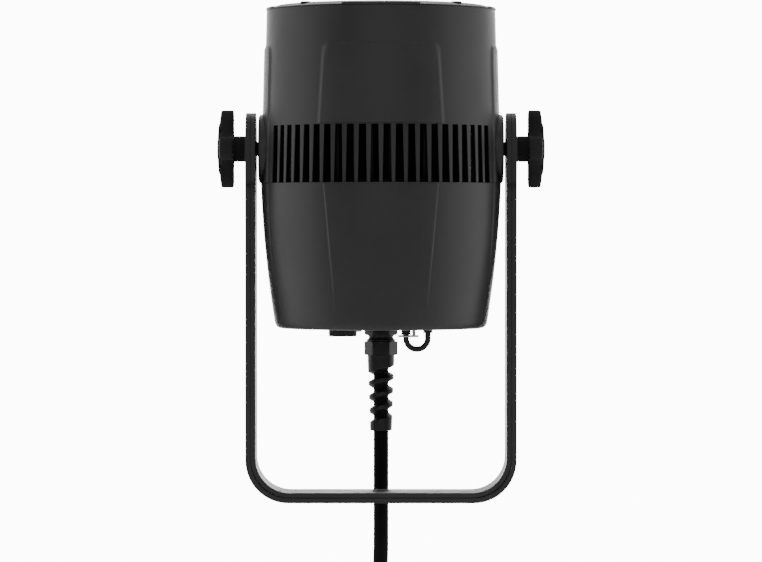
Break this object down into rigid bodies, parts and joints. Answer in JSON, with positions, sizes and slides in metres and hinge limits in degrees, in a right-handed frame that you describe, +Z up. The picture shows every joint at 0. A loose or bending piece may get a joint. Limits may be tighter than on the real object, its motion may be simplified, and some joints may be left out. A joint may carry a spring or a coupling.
{
  "type": "stage spotlight",
  "caption": "Compact round spotlight head with a vented waist, pivoting in a nested double yoke bracket with star knobs, a cable gland and a coiled mains lead.",
  "frame": {"origin": "centre of the yoke's mounting hole on the underside of the foot bar", "axes": "+X along the tilt pivot, -Y the front of the light, +Z up from the foot bar to the lens"},
  "size_m": [0.2192, 0.16, 0.5893],
  "materials": {
    "housing_paint": "textured black powder coat",
    "bezel_paint": "textured black powder coat",
    "bracket_paint": "fine-textured black powder coat",
    "knob_plastic": "moulded black nylon",
    "gland_plastic": "moulded black nylon",
    "cord_jacket": "matt black rubber",
    "seal_rubber": "matt black rubber",
    "clear_glass": "polished and coated",
    "lens_glass": "polished",
    "reflector_metal": "bright anodised",
    "black_metal": "black anodised",
    "black_steel": "black oxide",
    "bright_steel": "zinc plated",
    "insert_brass": "turned",
    "circuit_board": "solder resist",
    "led_phosphor": "silicone with phosphor",
    "component_plastic": "moulded",
    "wire_insulation": "silicone insulation",
    "tie_fabric": "woven hook-and-loop",
    "plug_plastic": "moulded",
    "pin_metal": "nickel plated"
  },
  "bodies": {
    "yoke": {"outer_bracket": "bracket_paint", "bracket_liner_left": "knob_plastic", "bracket_liner_right": "knob_plastic"},
    "stand_bracket": {"inner_bracket": "bracket_paint"},
    "hanging_cord": {"power_cord": "cord_jacket", "cord_coil": "cord_jacket", "cord_tie": "tie_fabric", "cord_end": "cord_jacket", "plug_boot": "plug_plastic", "plug_body": "plug_plastic", "plug_pins": "pin_metal"},
    "knob_washer_left": {"knob_washer_left": "black_steel"},
    "knob_left": {"knob_left": "knob_plastic", "knob_cap_left": "knob_plastic", "pivot_stud_left": "bright_steel"},
    "knob_washer_right": {"knob_washer_right": "black_steel"},
    "knob_right": {"knob_right": "knob_plastic", "knob_cap_right": "knob_plastic", "pivot_stud_right": "bright_steel"},
    "head": {"upper_housing": "housing_paint", "lower_housing": "housing_paint", "front_bezel": "bezel_paint", "bezel_screws": "black_steel", "front_glass": "clear_glass", "glass_seal": "seal_rubber", "lens": "lens_glass", "lens_barrel": "black_metal", "reflector": "reflector_metal", "led_board": "circuit_board", "led_emitter": "led_phosphor", "led_wires": "wire_insulation", "heat_sink": "black_metal", "heat_sink_screws": "bright_steel", "pillars": "bright_steel", "pillar_screws": "bright_steel", "bulkhead": "black_metal", "bulkhead_screws": "bright_steel", "housing_seal": "seal_rubber", "driver_board": "circuit_board", "board_standoffs": "bright_steel", "driver_parts": "component_plastic", "terminal_block": "component_plastic", "mains_wires": "wire_insulation", "gland_body": "gland_plastic", "gland_locknut": "gland_plastic", "gland_seal": "seal_rubber", "gland_nut": "gland_plastic", "cord_entry": "cord_jacket", "blanking_plug": "gland_plastic", "blanking_plug_seal": "seal_rubber", "earth_screw": "bright_steel", "safety_eye": "black_steel", "safety_eye_nuts": "black_steel", "locking_pin": "bright_steel", "pivot_insert_left": "insert_brass", "pivot_spacer_left": "black_steel", "pivot_insert_right": "insert_brass", "pivot_spacer_right": "black_steel"}
  },
  "joints": [
    {"name": "head_tilt", "type": "hinge", "parent": "yoke", "child": "head", "pos_m": [0, 0, 0.235], "axis": [1, 0, 0], "range_deg": [0, 100]},
    {"name": "cord_hang", "type": "hinge", "parent": "head", "child": "hanging_cord", "pos_m": [0, 0.028, 0.0158], "axis": [1, 0, 0], "range_deg": [-100, 0], "deforming": ["power_cord"]},
    {"name": "stand_bracket_swing", "type": "hinge", "parent": "yoke", "child": "stand_bracket", "pos_m": [0, 0, 0.235], "axis": [1, 0, 0], "range_deg": [-120, 0]},
    {"name": "knob_left_travel", "type": "slide", "parent": "yoke", "child": "knob_washer_left", "axis": [-1, 0, 0], "range_m": [0, 0.00125]},
    {"name": "knob_left_turn", "type": "hinge", "parent": "knob_washer_left", "child": "knob_left", "pos_m": [-0.0985, 0, 0.235], "axis": [-1, 0, 0], "range_deg": [0, 360]},
    {"name": "knob_right_travel", "type": "slide", "parent": "yoke", "child": "knob_washer_right", "axis": [1, 0, 0], "range_m": [0, 0.00125]},
    {"name": "knob_right_turn", "type": "hinge", "parent": "knob_washer_right", "child": "knob_right", "pos_m": [0.0985, 0, 0.235], "axis": [1, 0, 0], "range_deg": [0, 360]}
  ],
  "couplings": [
    {"joint": "cord_hang", "follows": "head_tilt", "ratio": -1},
    {"joint": "knob_left_turn", "follows": "knob_left_travel", "rad_per_m": 5026.5},
    {"joint": "knob_right_turn", "follows": "knob_right_travel", "rad_per_m": 5026.5}
  ]
}
